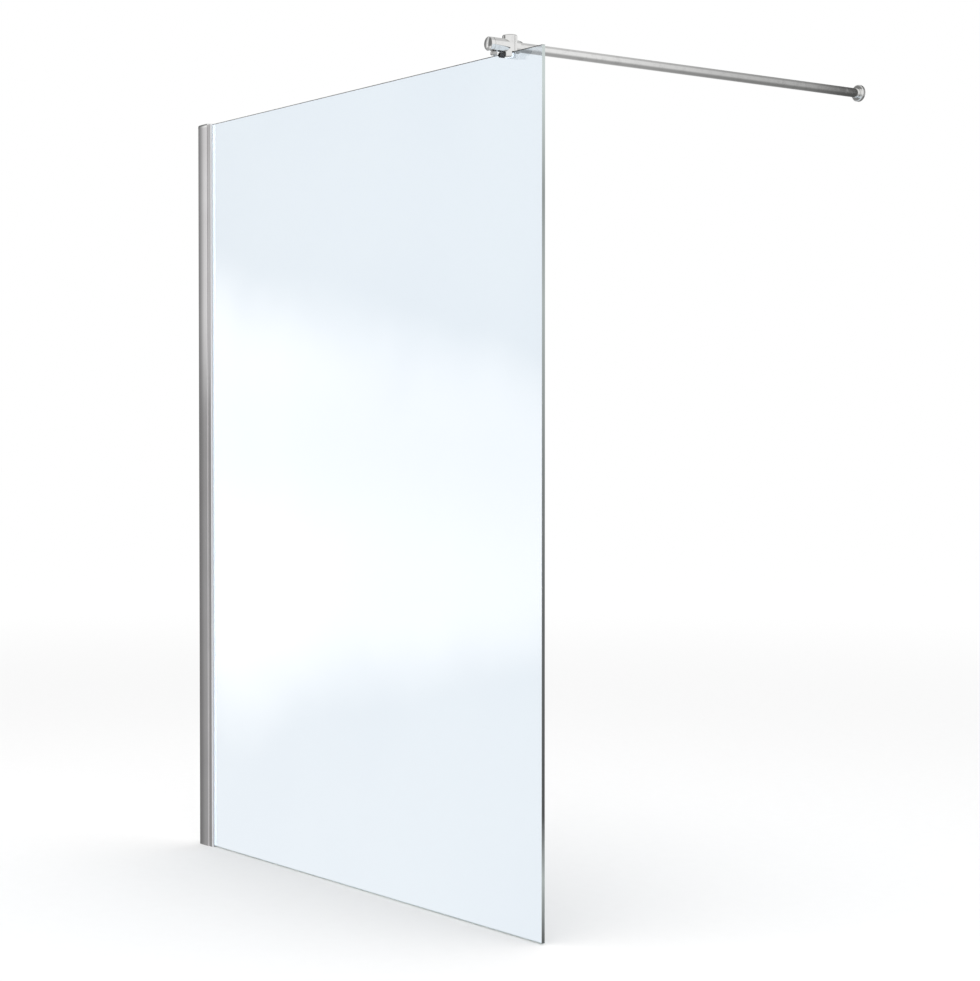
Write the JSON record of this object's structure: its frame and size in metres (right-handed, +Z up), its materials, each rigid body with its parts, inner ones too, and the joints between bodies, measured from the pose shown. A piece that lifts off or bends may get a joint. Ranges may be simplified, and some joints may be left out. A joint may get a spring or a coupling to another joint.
{
  "type": "walk-in shower screen",
  "caption": "Fixed clear glass panel in an adjustable wall channel, with a glass-top clamp and a round support bar that reaches to a flange on the opposite wall.",
  "frame": {"origin": "foot of the wall channel on the wall face, in the middle of the glass's thickness: X = 0 is the wall, Z = 0 the shower tray", "axes": "+X from the wall along the glass to its free edge, +Y along the support bar to the opposite wall, +Z up"},
  "size_m": [1.48, 1.1195, 1.9372],
  "materials": {
    "bright_aluminium": "bright anodised extrusion with faint drawn lines",
    "chrome_plating": "polished chrome",
    "stainless_steel": "turned stainless steel",
    "dark_steel": "dark oxide",
    "clear_glass": "clear toughened glass with a faint blue cast and polished grey-green edges",
    "clear_vinyl": "clear soft vinyl",
    "grey_rubber": "grey rubber",
    "natural_nylon": "natural nylon"
  },
  "bodies": {
    "wall_frame": {"wall_channel": "bright_aluminium", "channel_top_cap": "chrome_plating", "adjuster_screws": "stainless_steel", "adjuster_nuts": "stainless_steel", "screw_covers": "chrome_plating"},
    "panel": {"glass_channel": "bright_aluminium", "front_gasket": "clear_vinyl", "rear_gasket": "clear_vinyl", "glass_panel": "clear_glass", "setting_block": "grey_rubber"},
    "clamp": {"clamp_body": "chrome_plating", "clamp_front_pad": "clear_vinyl", "clamp_back_pad": "clear_vinyl", "clamp_screw": "dark_steel", "bar_lock_screw": "stainless_steel", "barrel_end_cap": "chrome_plating", "bar_bush": "natural_nylon", "bar_collar": "chrome_plating"},
    "bar": {"support_bar": "chrome_plating", "flange_base": "stainless_steel", "flange_lock_screw": "dark_steel"},
    "rosette": {"flange_rosette": "chrome_plating", "rosette_ring": "grey_rubber"}
  },
  "joints": [
    {"name": "panel_adjust", "type": "slide", "parent": "wall_frame", "child": "panel", "axis": [1, 0, 0], "range_m": [-0.01, 0.01]},
    {"name": "clamp_slide", "type": "slide", "parent": "panel", "child": "clamp", "axis": [1, 0, 0], "range_m": [-0.4, 0.09]},
    {"name": "bar_slide", "type": "slide", "parent": "clamp", "child": "bar", "axis": [0, 1, 0], "range_m": [-0.004, 0.03]},
    {"name": "rosette_slide", "type": "slide", "parent": "bar", "child": "rosette", "axis": [0, 1, 0], "range_m": [-0.06, 0]}
  ]
}
